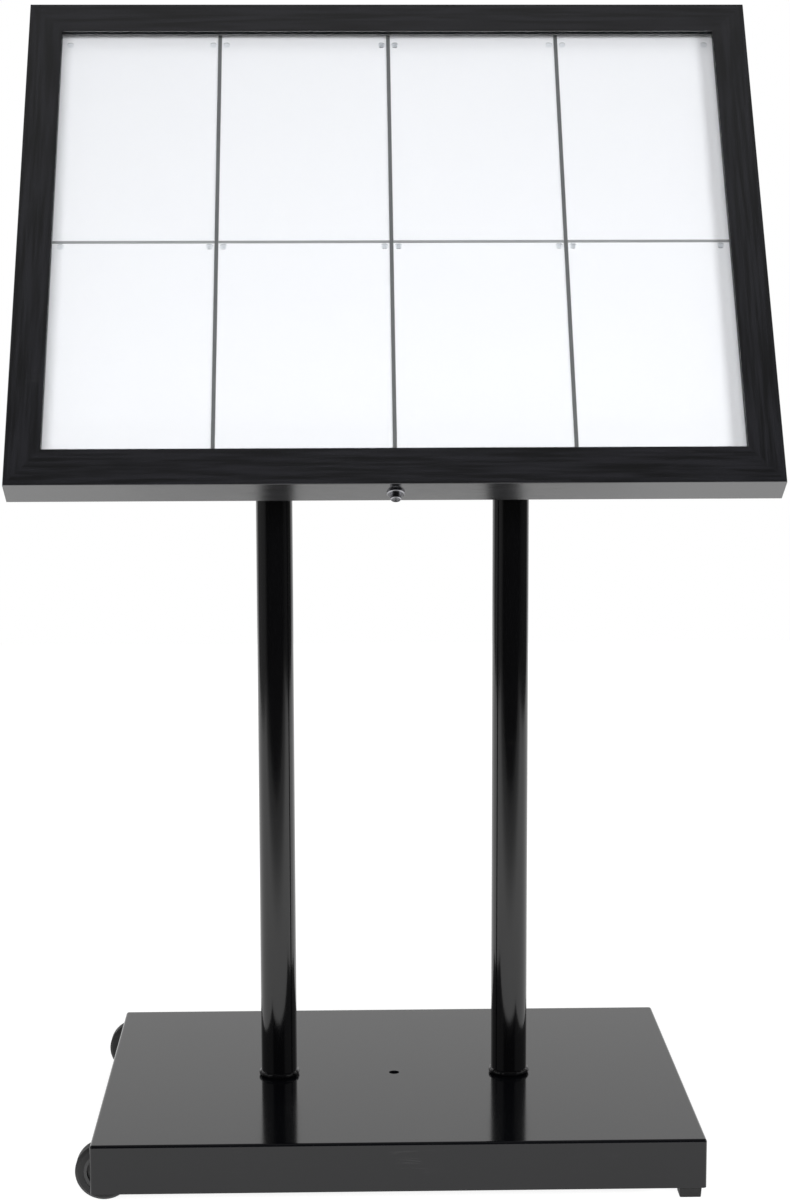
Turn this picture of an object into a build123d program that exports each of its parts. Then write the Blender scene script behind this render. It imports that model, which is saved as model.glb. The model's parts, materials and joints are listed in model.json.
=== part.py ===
"""Rolling information display: a leaning, lockable glazed case on two posts and a weighted base.

Millimetres, +Z up. The front faces -Y, and the origin is on the floor under the middle of the base.
"""

import os
from math import cos, radians, sin

from build123d import *

# Case as a whole: outside size, lean from upright and the place of its lower front edge
case_width = 909.0
case_height = 691.0
case_lean = 33.0
case_edge_y = -192.5
case_edge_z = 842.0
case_depth = 45.0

# Door: four mitred channel rails that cap the case, with the glass held from behind
side_border = 42.0
bottom_border = 47.5
door_depth = 43.0
face_thickness = 2.5
skirt_thickness = 3.0
skirt_rear_radius = 1.5
edge_radius = 1.0
seat_depth = 2.5
gasket_thickness = 1.5
gasket_width = 10.0
glass_thickness = 4.0
glass_bite = 11.0
glass_gap = 1.0
web_thickness = 6.0
bead_thickness = 3.0
bead_overlap = 2.0
bead_thread = 4.0
joint_gap = 0.3
corner_plate_length = 70.0
corner_plate_width = 11.0
corner_plate_thickness = 2.0
corner_plate_gap = 1.0

# Case body behind the door: mitred angle rails, back sheet, two hat stiffeners and the white board
door_gap = 3.0
wall_thickness = 2.0
wall_front = 16.0
rear_flange = 24.0
back_thickness = 1.5
back_gap = 1.0
board_depth = 25.0
board_thickness = 2.0
board_bottom = 30.0
board_gap = 2.0
stiffener_sheet = 2.0
stiffener_crown = 40.0
stiffener_foot = 24.0

# A4 places on the board
column_pitch = 214.0
column_bar = 4.5
row_bar = 3.0
row_drop = 1.5
bar_thickness = 1.5
bar_overrun = 22.0
clip_width = 8.0
clip_height = 7.0
clip_thickness = 1.2
clip_offset = 8.5
clip_drop = 5.0
clip_corner = 2.0

# Hinges along the rear top edge
hinge_spacing = 300.0
hinge_length = 70.0
hinge_setback = 3.5
knuckle_count = 5
knuckle_radius = 4.0
knuckle_gap = 0.4
knuckle_room = 0.7
leaf_thickness = 1.5
leaf_front = 12.0
leaf_drop = 35.0
pin_radius = 2.5
pin_fit = 0.02
running_clearance = 0.05

# Cam lock in the middle of the bottom edge
lock_depth = 23.0
bezel_radius = 10.5
bezel_height = 2.5
nose_radius = 6.5
nose_height = 9.5
barrel_radius = 6.0
barrel_length = 17.0
plug_radius = 4.2
cam_square = 6.0
cam_length = 16.0
cam_width = 9.0
cam_thickness = 2.5
nut_across_flats = 17.0
nut_thickness = 4.0
lock_room = 1.2
keeper_width = 24.0
keeper_height = 16.0
keeper_sheet = 2.0
keeper_clearance = 0.6

# Posts and their heads
post_spacing = 292.0
post_radius = 22.5
post_wall = 2.5
post_y = -6.5
head_width = 100.0
head_height = 150.0
head_thickness = 5.0
head_bolt_x = 64.0
head_bolt_v = 116.0
head_corner = 8.0
collar_radius = 25.8
collar_height = 7.0
weld_gap = 0.2
post_hole_gap = 0.6

# Base: folded steel cover over a steel ballast slab, wheels at the left end and feet at the right
base_width = 725.0
base_depth = 521.0
base_sheet = 3.0
base_bend = 4.0
anchor_hole_radius = 6.5
foot_height = 13.8
foot_size = 27.0
foot_tip_size = 25.0
foot_corner = 2.0
foot_from_end = 18.0
foot_from_front = 19.5
foot_recess_radius = 8.0
foot_recess_depth = 7.0
foot_plate_size = 60.0
foot_plate_thickness = 4.0
slab_thickness = 20.0
slab_margin = 50.0
slab_wheel_gap = 16.0
foot_flange_size = 110.0
foot_flange_thickness = 8.0
flange_bolt_pitch = 80.0
boss_radius = 11.0
boss_inset = 82.0

# Wheels on one long axle
wheel_radius = 34.0
wheel_headroom = 2.0
wheel_from_end = 14.5
wheel_from_front = 30.0
hub_length = 26.4
rim_radius = 24.0
rim_width = 22.0
rim_wall = 4.0
hub_radius = 11.0
web_width = 8.0
tyre_width = 24.0
tyre_edge = 3.5
wheel_slot_gap = 4.0
axle_radius = 6.0
axle_overhang = 1.2
washer_radius = 11.0
washer_thickness = 1.5
side_play = 0.3
clip_ring_radius = 9.0
clip_ring_thickness = 3.0
bracket_thickness = 6.0
bracket_round = 11.0
bracket_reach = 56.0
bracket_foot_width = 46.0
bracket_foot_thickness = 5.0

# Fasteners: shank radius, head radius, head height
small_screw = (1.5, 3.0, 1.8)
rivet = (1.6, 3.4, 1.2)
m6_bolt = (3.0, 5.0, 4.0)
m8_bolt = (4.0, 6.5, 5.3)
m10_bolt = (5.0, 8.0, 6.4)
hole_clearance = 0.3

# Depths into the case, measured from the face of the door
glass_front = seat_depth + gasket_thickness
bead_front = glass_front + glass_thickness
bead_rear = bead_front + bead_thickness
back_front = case_depth - wall_thickness - back_thickness
back_rear = case_depth - wall_thickness
board_rear = board_depth + board_thickness
head_rear = back_rear + head_thickness
hinge_depth = case_depth + hinge_setback

# Places across and up the case
row_height = (case_height - side_border + bottom_border) / 2 - row_drop
wall_inset = skirt_thickness + door_gap
hinge_height = case_height + leaf_thickness / 2
board_half = case_width / 2 - wall_inset - wall_thickness - board_gap
board_top = case_height - wall_inset - wall_thickness - board_gap
post_half = post_spacing / 2

# Heights in the base
cover_under = 2 * wheel_radius + wheel_headroom
base_top = cover_under + base_sheet
slab_top = cover_under - foot_flange_thickness
slab_bottom = slab_top - slab_thickness
axle_x = -base_width / 2 + wheel_from_end
axle_z = wheel_radius
wheel_y = base_depth / 2 - wheel_from_front
foot_x = base_width / 2 - foot_from_end
foot_y = base_depth / 2 - foot_from_front

# Directions of the leaning case
lean = radians(case_lean)
across = Vector(1, 0, 0)
upward = Vector(0, sin(lean), cos(lean))
outward = Vector(0, -cos(lean), sin(lean))
case_plane = Plane(origin=(0, case_edge_y, case_edge_z), x_dir=across, z_dir=outward)

os.makedirs("parts", exist_ok=True)


def write(piece, name):
    """Label a finished piece and write it to its own file."""
    piece.part.label = name
    export_step(piece.part, f"parts/{name}.step")


def case_point(u, v, depth=0.0):
    """Point of the case: across from its middle, up its face from the lower edge, and into it."""
    return case_plane.from_local_coords(Vector(u, v, -depth))


def layer(depth):
    """Plane parallel to the face of the case, facing the viewer."""
    return case_plane.offset(-depth)


def rear_layer(depth):
    """Plane parallel to the face of the case, facing backwards; its local x runs the other way."""
    return Plane(origin=case_point(0, 0, depth), x_dir=-across, z_dir=-outward)


def bar(plane, left, right, low, high, thickness):
    """Rectangular bar added to the part being built, from a plane along its normal."""
    with BuildSketch(plane) as outline:
        with Locations(((left + right) / 2, (low + high) / 2)):
            Rectangle(right - left, high - low)
    extrude(outline.sketch, amount=thickness)


def drill(plane, points, radius, depth):
    """Round holes cut into the part being built, from a plane along its normal."""
    with BuildSketch(plane) as holes:
        with Locations(*points):
            Circle(radius)
    extrude(holes.sketch, amount=depth, mode=Mode.SUBTRACT)


def pan_screw(sizes, grip):
    """Screw or rivet standing on its head's seat: tapered head above, shank below, each with few sides."""
    shank, head, rise = sizes
    with BuildPart() as screw:
        with BuildSketch():
            RegularPolygon(radius=head, side_count=12)
        extrude(amount=rise, taper=24)
        with BuildSketch():
            RegularPolygon(radius=shank, side_count=8)
        extrude(amount=-grip)
    return screw.part


def hex_bolt(sizes, grip):
    """Hexagon bolt standing on its head's seat: head above, shank below."""
    shank, head, rise = sizes
    with BuildPart() as bolt:
        with BuildSketch():
            RegularPolygon(radius=head, side_count=6, major_radius=False)
        extrude(amount=rise)
        with BuildSketch():
            RegularPolygon(radius=shank, side_count=12)
        extrude(amount=-grip)
    return bolt.part


def fasten(name, fastener, *seats):
    """Equal fasteners in one group, set on the points of one or more planes."""
    with BuildPart() as group:
        for plane, points in seats:
            with Locations(plane):
                with Locations(*points):
                    add(fastener)
    write(group, name)


def frame_sides(inset, borders):
    """Name, corner, inward and run directions, length, border and the borders before and after of four rails."""
    half = case_width / 2 - inset
    low = inset
    high = case_height - inset
    side, bottom = borders
    return (
        ("bottom", case_point(-half, low), upward, across, 2 * half, bottom, side, side),
        ("right", case_point(half, low), -across, upward, high - low, side, bottom, side),
        ("top", case_point(half, high), -upward, -across, 2 * half, side, side, side),
        ("left", case_point(-half, high), across, -upward, high - low, side, side, bottom),
    )


def mitre(corner, inward, run, length, border, before, after):
    """Cut both ends of the rail being built along the lines from outer to inner frame corners."""
    start = Plane(origin=corner, z_dir=run * border - inward * before)
    end = Plane(origin=corner + run * length, z_dir=-(run * border) - inward * after)
    split(bisect_by=start, keep=Keep.TOP)
    split(bisect_by=end, keep=Keep.TOP)


# Where the glazing beads are screwed to the door rails, by rail
bead_line = glass_bite + glass_gap + web_thickness / 2
bead_side = case_width / 2 - side_border + bead_line
bead_top = case_height - side_border + bead_line
bead_bottom = bottom_border - bead_line
long_steps = [case_width * share for share in (-0.36, -0.12, 0.12, 0.36)]
tall_steps = [case_height * share for share in (0.18, 0.5, 0.82)]
bead_points = {
    "bottom": [(u, bead_bottom) for u in long_steps],
    "top": [(u, bead_top) for u in long_steps],
    "left": [(-bead_side, v) for v in tall_steps],
    "right": [(bead_side, v) for v in tall_steps],
}

# Where the hinge leaves are screwed down
hinge_places = (-hinge_spacing, 0.0, hinge_spacing)
hinge_screw_u = [place + step for place in hinge_places for step in (-hinge_length * 0.3, hinge_length * 0.3)]
top_plane = Plane(origin=case_point(0, case_height), x_dir=across, z_dir=upward)
leaf_middle = (leaf_front + door_depth) / 2
leaf_low = hinge_height - leaf_drop
leaf_screw_v = case_height - wall_inset - rear_flange / 2

# Door rails: extruded channels with a deep outer skirt, a glass rebate and a screw web
lock_plane = Plane(origin=case_point(0, 0, lock_depth), x_dir=across, z_dir=-upward)
for side, corner, inward, run, length, border, before, after in frame_sides(0, (side_border, bottom_border)):
    web_inner = border - glass_bite - glass_gap
    web_outer = web_inner - web_thickness
    with BuildPart() as door_rail:
        with BuildSketch(Plane(origin=corner, x_dir=inward, z_dir=run)) as profile:
            with BuildLine():
                Polyline(
                    (0, 0),
                    (border, 0),
                    (border, -seat_depth),
                    (web_inner, -seat_depth),
                    (web_inner, -bead_front),
                    (web_outer, -bead_front),
                    (web_outer, -face_thickness),
                    (skirt_thickness, -face_thickness),
                    (skirt_thickness, -door_depth),
                    (0, -door_depth),
                    close=True,
                )
            make_face()
            outer_corners = profile.vertices().group_by(Axis.X)[0].sort_by(Axis.Y)
            fillet(outer_corners[0], radius=skirt_rear_radius)
            front_corners = profile.vertices().group_by(Axis.Y)[-1]
            fillet(front_corners, radius=edge_radius)
        extrude(amount=length)
        mitre(corner, inward, run, length, border, before, after)
        drill(layer(bead_front), bead_points[side], small_screw[0] + hole_clearance / 2, bead_thread)
        if side == "top":
            drill(
                top_plane,
                [(u, leaf_middle) for u in hinge_screw_u],
                small_screw[0] + hole_clearance / 2,
                -skirt_thickness,
            )
        if side == "bottom":
            drill(lock_plane, [(0, 0)], barrel_radius + hole_clearance / 2, -skirt_thickness)
    write(door_rail, f"door_rail_{side}")

# Flat corner plates that tie the mitres together behind the door's face
plate_start = skirt_thickness + door_gap + corner_plate_gap * 3
with BuildPart() as door_corner_plates:
    with BuildSketch(layer(face_thickness)):
        for right in (-1, 1):
            for top in (0, 1):
                corner_u = right * (case_width / 2 - plate_start)
                corner_v = case_height - plate_start if top else plate_start
                down = -1 if top else 1
                with BuildLine():
                    Polyline(
                        (corner_u, corner_v),
                        (corner_u - right * corner_plate_length, corner_v),
                        (corner_u - right * corner_plate_length, corner_v + down * corner_plate_width),
                        (corner_u - right * corner_plate_width, corner_v + down * corner_plate_width),
                        (corner_u - right * corner_plate_width, corner_v + down * corner_plate_length),
                        (corner_u, corner_v + down * corner_plate_length),
                        close=True,
                    )
                make_face()
    extrude(amount=-corner_plate_thickness)
write(door_corner_plates, "door_corner_plates")

# Glass, its gasket strips in front and the screwed beads behind
glass_half = case_width / 2 - side_border + glass_bite
glass_low = bottom_border - glass_bite
glass_high = case_height - side_border + glass_bite
with BuildPart() as door_glass:
    bar(layer(glass_front), -glass_half, glass_half, glass_low, glass_high, -glass_thickness)
write(door_glass, "door_glass")

strip_end = gasket_width + joint_gap
with BuildPart() as glass_gasket:
    strip = layer(seat_depth)
    bar(strip, -glass_half, glass_half, glass_low, glass_low + gasket_width, -gasket_thickness)
    bar(strip, -glass_half, glass_half, glass_high - gasket_width, glass_high, -gasket_thickness)
    for right in (-1, 1):
        edges = sorted((right * glass_half, right * (glass_half - gasket_width)))
        bar(strip, *edges, glass_low + strip_end, glass_high - strip_end, -gasket_thickness)
write(glass_gasket, "glass_gasket")

bead_width = glass_bite + glass_gap + web_thickness + bead_overlap
bead_inner_u = case_width / 2 - side_border
bead_outer_u = bead_inner_u + bead_width
bead_low = bottom_border - bead_width
bead_high = case_height - side_border + bead_width
with BuildPart() as glazing_beads:
    strip = layer(bead_front)
    bar(strip, -bead_outer_u, bead_outer_u, bead_low, bottom_border, -bead_thickness)
    bar(strip, -bead_outer_u, bead_outer_u, bead_high - bead_width, bead_high, -bead_thickness)
    for right in (-1, 1):
        edges = sorted((right * bead_inner_u, right * bead_outer_u))
        bar(strip, *edges, bottom_border + joint_gap, bead_high - bead_width - joint_gap, -bead_thickness)
    for points in bead_points.values():
        drill(layer(bead_front), points, small_screw[0] + hole_clearance / 2, -bead_thickness)
write(glazing_beads, "glazing_beads")

bead_grip = bead_thickness + bead_thread - 0.5
fasten(
    "bead_screws",
    pan_screw(small_screw, bead_grip),
    *[(rear_layer(bead_rear), [(-u, v) for u, v in points]) for points in bead_points.values()],
)

# Case rails: mitred angles whose walls stand inside the door's skirt
lock_slot_half = nut_across_flats * 0.58 + lock_room
lock_slot_rear = lock_depth + lock_slot_half
rivet_line = wall_inset + rear_flange * 0.6
rivet_side = case_width / 2 - rivet_line
rivet_top = case_height - rivet_line
long_rivets = [case_width * share for share in (-0.44, -0.165, 0.165, 0.44)]
tall_rivets = [case_height * share for share in (0.2, 0.4, 0.6, 0.8)]
rivet_points = [(u, v) for u in long_rivets for v in (rivet_line, rivet_top)]
rivet_points += [(u, v) for u in (-rivet_side, rivet_side) for v in tall_rivets]
leaf_points = [(u, leaf_screw_v) for u in hinge_screw_u]
keeper_left = lock_slot_half
keeper_front = lock_depth - cam_width / 2 - keeper_clearance - keeper_sheet
keeper_rear = back_front - back_gap * 3
keeper_floor = wall_inset + wall_thickness
keeper_points = [(keeper_left + keeper_width * share, (wall_front + keeper_rear) / 2) for share in (0.25, 0.75)]
floor_plane = Plane(origin=case_point(0, wall_inset), x_dir=across, z_dir=-upward)
case_sides = frame_sides(wall_inset, (rear_flange, rear_flange))
for side, corner, inward, run, length, border, before, after in case_sides:
    with BuildPart() as case_rail:
        with BuildSketch(Plane(origin=corner, x_dir=inward, z_dir=run)):
            with BuildLine():
                Polyline(
                    (0, -wall_front),
                    (wall_thickness, -wall_front),
                    (wall_thickness, -back_rear),
                    (rear_flange, -back_rear),
                    (rear_flange, -case_depth),
                    (0, -case_depth),
                    close=True,
                )
            make_face()
        extrude(amount=length)
        mitre(corner, inward, run, length, border, before, after)
        drill(layer(case_depth), rivet_points, rivet[0] + hole_clearance / 2, wall_thickness)
        if side == "top":
            drill(layer(case_depth), leaf_points, small_screw[0] + hole_clearance / 2, wall_thickness)
        if side == "bottom":
            with BuildSketch(floor_plane):
                with Locations((0, -(wall_front + lock_slot_rear) / 2)):
                    Rectangle(2 * lock_slot_half, lock_slot_rear - wall_front)
            extrude(amount=-wall_thickness, mode=Mode.SUBTRACT)
            drill(
                floor_plane,
                [(u, -depth) for u, depth in keeper_points],
                rivet[0] + hole_clearance / 2,
                -wall_thickness,
            )
    write(case_rail, f"case_rail_{side}")

# Heads of the posts: where each post's axis meets the back of the case
head_v = (post_y - case_edge_y - head_rear * cos(lean)) / sin(lean)
head_grid = [
    (x * head_bolt_x / 2, head_v + v * head_bolt_v / 2) for x in (-1, 1) for v in (-1, 1)
]
head_points = [(side * post_half + x, v) for side in (-1, 1) for x, v in head_grid]
back_half = case_width / 2 - wall_inset - wall_thickness - back_gap
back_low = wall_inset + wall_thickness + back_gap
back_high = case_height - back_low

with BuildPart() as back_sheet:
    bar(layer(back_front), -back_half, back_half, back_low, back_high, -back_thickness)
    drill(layer(back_rear), rivet_points, rivet[0] + hole_clearance / 2, back_thickness)
    drill(layer(back_rear), leaf_points, small_screw[0] + hole_clearance / 2, back_thickness)
    drill(layer(back_rear), head_points, m6_bolt[0] + hole_clearance, back_thickness)
write(back_sheet, "back_sheet")

# Hat stiffeners between the back sheet and the board, one in line with each post
crown_half = stiffener_crown / 2
foot_half = crown_half + stiffener_foot
board_screw_v = (board_bottom + clip_height, board_top - clip_height)
for side, name in ((-1, "left"), (1, "right")):
    stiffener_start = Plane(origin=case_point(side * post_half, back_low), x_dir=across, z_dir=upward)
    with BuildPart() as stiffener:
        with BuildSketch(stiffener_start):
            with BuildLine():
                Polyline(
                    (-foot_half, back_front),
                    (-foot_half, back_front - stiffener_sheet),
                    (-crown_half, back_front - stiffener_sheet),
                    (-crown_half, board_rear),
                    (crown_half, board_rear),
                    (crown_half, back_front - stiffener_sheet),
                    (foot_half, back_front - stiffener_sheet),
                    (foot_half, back_front),
                    (crown_half - stiffener_sheet, back_front),
                    (crown_half - stiffener_sheet, board_rear + stiffener_sheet),
                    (-crown_half + stiffener_sheet, board_rear + stiffener_sheet),
                    (-crown_half + stiffener_sheet, back_front),
                    close=True,
                )
            make_face()
        extrude(amount=back_high - back_low)
        drill(layer(back_front), head_points, m6_bolt[0] + hole_clearance, stiffener_sheet)
        drill(
            layer(board_rear),
            [(side * post_half, v) for v in board_screw_v],
            small_screw[0] + hole_clearance / 2,
            -stiffener_sheet,
        )
    write(stiffener, f"{name}_stiffener")

# White board, the dark bars that part its eight places, and the clear sheet clips
board_screw_points = [(side * post_half, v) for side in (-1, 1) for v in board_screw_v]
with BuildPart() as display_board:
    bar(layer(board_depth), -board_half, board_half, board_bottom, board_top, -board_thickness)
    drill(layer(board_depth), board_screw_points, small_screw[0] + hole_clearance / 2, -board_thickness)
write(display_board, "display_board")
column_places = (-column_pitch, 0.0, column_pitch)
bar_low = bottom_border - bar_overrun / 2
bar_high = case_height - side_border + bar_overrun
bar_half = case_width / 2 - side_border + bar_overrun / 2
with BuildPart() as column_dividers:
    for place in column_places:
        left = place - column_bar / 2
        bar(layer(board_depth), left, left + column_bar, bar_low, bar_high, bar_thickness)
write(column_dividers, "column_dividers")

row_ends = (-bar_half, *column_places, bar_half)
with BuildPart() as row_dividers:
    for number in range(len(row_ends) - 1):
        left = row_ends[number] + (column_bar / 2 if number else 0)
        right = row_ends[number + 1] - (column_bar / 2 if number < len(column_places) else 0)
        low = row_height - row_bar / 2
        bar(layer(board_depth), left, right, low, low + row_bar, bar_thickness)
write(row_dividers, "row_dividers")

clip_edges = [place + step for place in column_places for step in (-clip_offset, clip_offset)]
clip_end = case_width / 2 - side_border - clip_offset
clip_edges += [-clip_end, clip_end]
clip_rows = (case_height - side_border, row_height - row_bar / 2)
with BuildPart() as sheet_clips:
    with BuildSketch(layer(board_depth)) as clip_outline:
        with Locations(*[(u, v - clip_drop) for u in clip_edges for v in clip_rows]):
            Rectangle(clip_width, clip_height)
        chamfer(clip_outline.vertices(), length=clip_corner)
    extrude(amount=clip_thickness)
write(sheet_clips, "sheet_clips")

# Hinges: knuckles of the door and case leaves take turns along one pin
knuckle_step = hinge_length / knuckle_count
leaf_edge = knuckle_radius + knuckle_room
leaf_rear_y = hinge_depth - case_depth - leaf_thickness


def hinge_section(place, number):
    """Plane square to the hinge line at the start of one knuckle: local x up, local y to the viewer."""
    start = place - hinge_length / 2 + number * knuckle_step + knuckle_gap / 2
    return Plane(origin=case_point(start, hinge_height, hinge_depth), x_dir=upward, z_dir=across)


with BuildPart() as hinge_door_leaves:
    for place in hinge_places:
        bar(
            hinge_section(place, 0),
            -leaf_thickness / 2,
            leaf_thickness / 2,
            leaf_edge,
            hinge_depth - leaf_front,
            hinge_length - knuckle_gap,
        )
        for number in range(1, knuckle_count, 2):
            with BuildSketch(hinge_section(place, number)):
                Circle(knuckle_radius)
                with Locations((0, leaf_edge / 2)):
                    Rectangle(leaf_thickness, leaf_edge)
                Circle(pin_radius + running_clearance, mode=Mode.SUBTRACT)
            extrude(amount=knuckle_step - knuckle_gap)
    drill(
        top_plane,
        [(u, leaf_middle) for u in hinge_screw_u],
        small_screw[0] + hole_clearance / 2,
        leaf_thickness,
    )
write(hinge_door_leaves, "hinge_door_leaves")

with BuildPart() as hinge_case_leaves:
    for place in hinge_places:
        bar(
            hinge_section(place, 0),
            -leaf_drop,
            -leaf_edge,
            leaf_rear_y,
            leaf_rear_y + leaf_thickness,
            hinge_length - knuckle_gap,
        )
        for number in range(0, knuckle_count, 2):
            with BuildSketch(hinge_section(place, number)):
                Circle(knuckle_radius)
                with Locations((-leaf_edge / 2, leaf_rear_y + leaf_thickness / 2)):
                    Rectangle(leaf_edge, leaf_thickness)
                Circle(pin_radius + pin_fit, mode=Mode.SUBTRACT)
            extrude(amount=knuckle_step - knuckle_gap)
    drill(
        layer(case_depth + leaf_thickness),
        leaf_points,
        small_screw[0] + hole_clearance / 2,
        leaf_thickness,
    )
write(hinge_case_leaves, "hinge_case_leaves")

with BuildPart() as hinge_pins:
    for place in hinge_places:
        with BuildSketch(hinge_section(place, 0)):
            Circle(pin_radius)
        extrude(amount=hinge_length - knuckle_gap)
write(hinge_pins, "hinge_pins")

leaf_top_plane = top_plane.offset(leaf_thickness)
fasten(
    "hinge_door_screws",
    pan_screw(small_screw, leaf_thickness + skirt_thickness + 0.8),
    (leaf_top_plane, [(u, leaf_middle) for u in hinge_screw_u]),
)
fasten(
    "case_rivets",
    pan_screw(rivet, wall_thickness + back_thickness),
    (rear_layer(case_depth), [(-u, v) for u, v in rivet_points]),
    (floor_plane, [(u, -depth) for u, depth in keeper_points]),
)
fasten(
    "case_screws",
    pan_screw(small_screw, leaf_thickness + wall_thickness + back_thickness),
    (rear_layer(case_depth + leaf_thickness), [(-u, v) for u, v in leaf_points]),
    (layer(board_depth), board_screw_points),
)

# Cam lock: body and nut on the door, plug and cam turning in it, keeper riveted to the case
with BuildPart() as lock_body:
    with BuildSketch(lock_plane):
        Circle(bezel_radius)
    extrude(amount=bezel_height)
    bezel_rim = lock_body.edges().filter_by(GeomType.CIRCLE).sort_by(Axis(lock_plane.origin, lock_plane.z_dir))[-1]
    chamfer(bezel_rim, length=bezel_height * 0.4)
    with BuildSketch(lock_plane.offset(bezel_height)):
        Circle(nose_radius)
    extrude(amount=nose_height - bezel_height)
    nose_rim = lock_body.edges().filter_by(GeomType.CIRCLE).sort_by(Axis(lock_plane.origin, lock_plane.z_dir))[-1]
    chamfer(nose_rim, length=1.0)
    with BuildSketch(lock_plane):
        Circle(barrel_radius)
    extrude(amount=-barrel_length)
    with BuildSketch(lock_plane.offset(nose_height)):
        Circle(plug_radius + running_clearance)
    extrude(amount=-(nose_height + barrel_length), mode=Mode.SUBTRACT)
write(lock_body, "lock_body")

with BuildPart() as lock_nut:
    with BuildSketch(lock_plane.offset(-skirt_thickness)):
        RegularPolygon(radius=nut_across_flats / 2, side_count=6, major_radius=False)
        Circle(barrel_radius + running_clearance, mode=Mode.SUBTRACT)
    extrude(amount=-nut_thickness)
write(lock_nut, "lock_nut")

plug_end = barrel_length + side_play
with BuildPart() as lock_plug:
    with BuildSketch(lock_plane.offset(nose_height - 0.4)):
        Circle(plug_radius)
    extrude(amount=-(nose_height - 0.4 + plug_end))
    with BuildSketch(lock_plane.offset(-plug_end)):
        Rectangle(cam_square, cam_square)
    extrude(amount=-(cam_thickness + 0.8))
    with BuildSketch(lock_plane.offset(nose_height - 0.4)):
        Rectangle(1.4, plug_radius * 1.4)
    extrude(amount=-3.0, mode=Mode.SUBTRACT)
write(lock_plug, "lock_plug")

with BuildPart() as lock_cam:
    with BuildSketch(lock_plane.offset(-plug_end)):
        Circle(cam_width / 2)
        cam_run = cam_length - cam_width / 2
        with Locations((0, -cam_run / 2)):
            Rectangle(cam_width, cam_run)
        with Locations((0, -cam_run)):
            Circle(cam_width / 2)
        Rectangle(cam_square + 0.1, cam_square + 0.1, mode=Mode.SUBTRACT)
    extrude(amount=-cam_thickness)
write(lock_cam, "lock_cam")

with BuildPart() as lock_keeper:
    with BuildSketch(Plane(origin=case_point(keeper_left, keeper_floor), x_dir=upward, z_dir=across)):
        with BuildLine():
            Polyline(
                (0, -keeper_front),
                (keeper_height, -keeper_front),
                (keeper_height, -keeper_front - keeper_sheet),
                (keeper_sheet, -keeper_front - keeper_sheet),
                (keeper_sheet, -keeper_rear),
                (0, -keeper_rear),
                close=True,
            )
        make_face()
    extrude(amount=keeper_width)
    drill(
        floor_plane.offset(-wall_thickness),
        [(u, -depth) for u, depth in keeper_points],
        rivet[0] + hole_clearance / 2,
        -keeper_sheet,
    )
write(lock_keeper, "lock_keeper")

# Posts: tubes cut to the lean of the case, welded to a head plate above and a flange below
for side, name in ((-1, "left"), (1, "right")):
    head_plane = layer(back_rear)
    with BuildPart() as head_plate:
        with BuildSketch(head_plane):
            with Locations((side * post_half, head_v)):
                RectangleRounded(head_width, head_height, head_corner)
            with Locations(*head_points):
                Circle(m6_bolt[0] + hole_clearance, mode=Mode.SUBTRACT)
        extrude(amount=-head_thickness)
    write(head_plate, f"{name}_head_plate")

    foot_plane = Plane(origin=(side * post_half, post_y, slab_top))
    with BuildPart() as post:
        with BuildSketch(foot_plane):
            Circle(post_radius)
            Circle(post_radius - post_wall, mode=Mode.SUBTRACT)
        extrude(amount=case_edge_z + case_height)
        split(bisect_by=layer(head_rear), keep=Keep.BOTTOM)
    write(post, f"{name}_post")

    with BuildPart() as foot_flange:
        with BuildSketch(foot_plane):
            RectangleRounded(foot_flange_size, foot_flange_size, head_corner)
            Circle(post_radius + weld_gap, mode=Mode.SUBTRACT)
            with GridLocations(flange_bolt_pitch, flange_bolt_pitch, 2, 2):
                Circle(m10_bolt[0] + hole_clearance / 2, mode=Mode.SUBTRACT)
        extrude(amount=foot_flange_thickness)
    write(foot_flange, f"{name}_foot_flange")

    with BuildPart() as collar:
        with BuildSketch(foot_plane.offset(base_top - slab_top)):
            Circle(collar_radius)
            Circle(post_radius + weld_gap, mode=Mode.SUBTRACT)
        extrude(amount=collar_height)
        chamfer(collar.edges().filter_by(GeomType.CIRCLE).group_by(Axis.Z)[-1].sort_by(SortBy.RADIUS)[-1], length=2.2)
    write(collar, f"{name}_collar")

head_grip = head_thickness + back_thickness + stiffener_sheet + 7.0
fasten("head_bolts", hex_bolt(m6_bolt, head_grip), (rear_layer(head_rear), [(-u, v) for u, v in head_points]))
with BuildPart() as head_nuts:
    with BuildSketch(layer(back_front - stiffener_sheet)):
        with Locations(*head_points):
            RegularPolygon(radius=m6_bolt[1], side_count=6, major_radius=False)
            Circle(m6_bolt[0] + hole_clearance / 4, mode=Mode.SUBTRACT)
    extrude(amount=m6_bolt[1])
write(head_nuts, "head_nuts")

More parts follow.
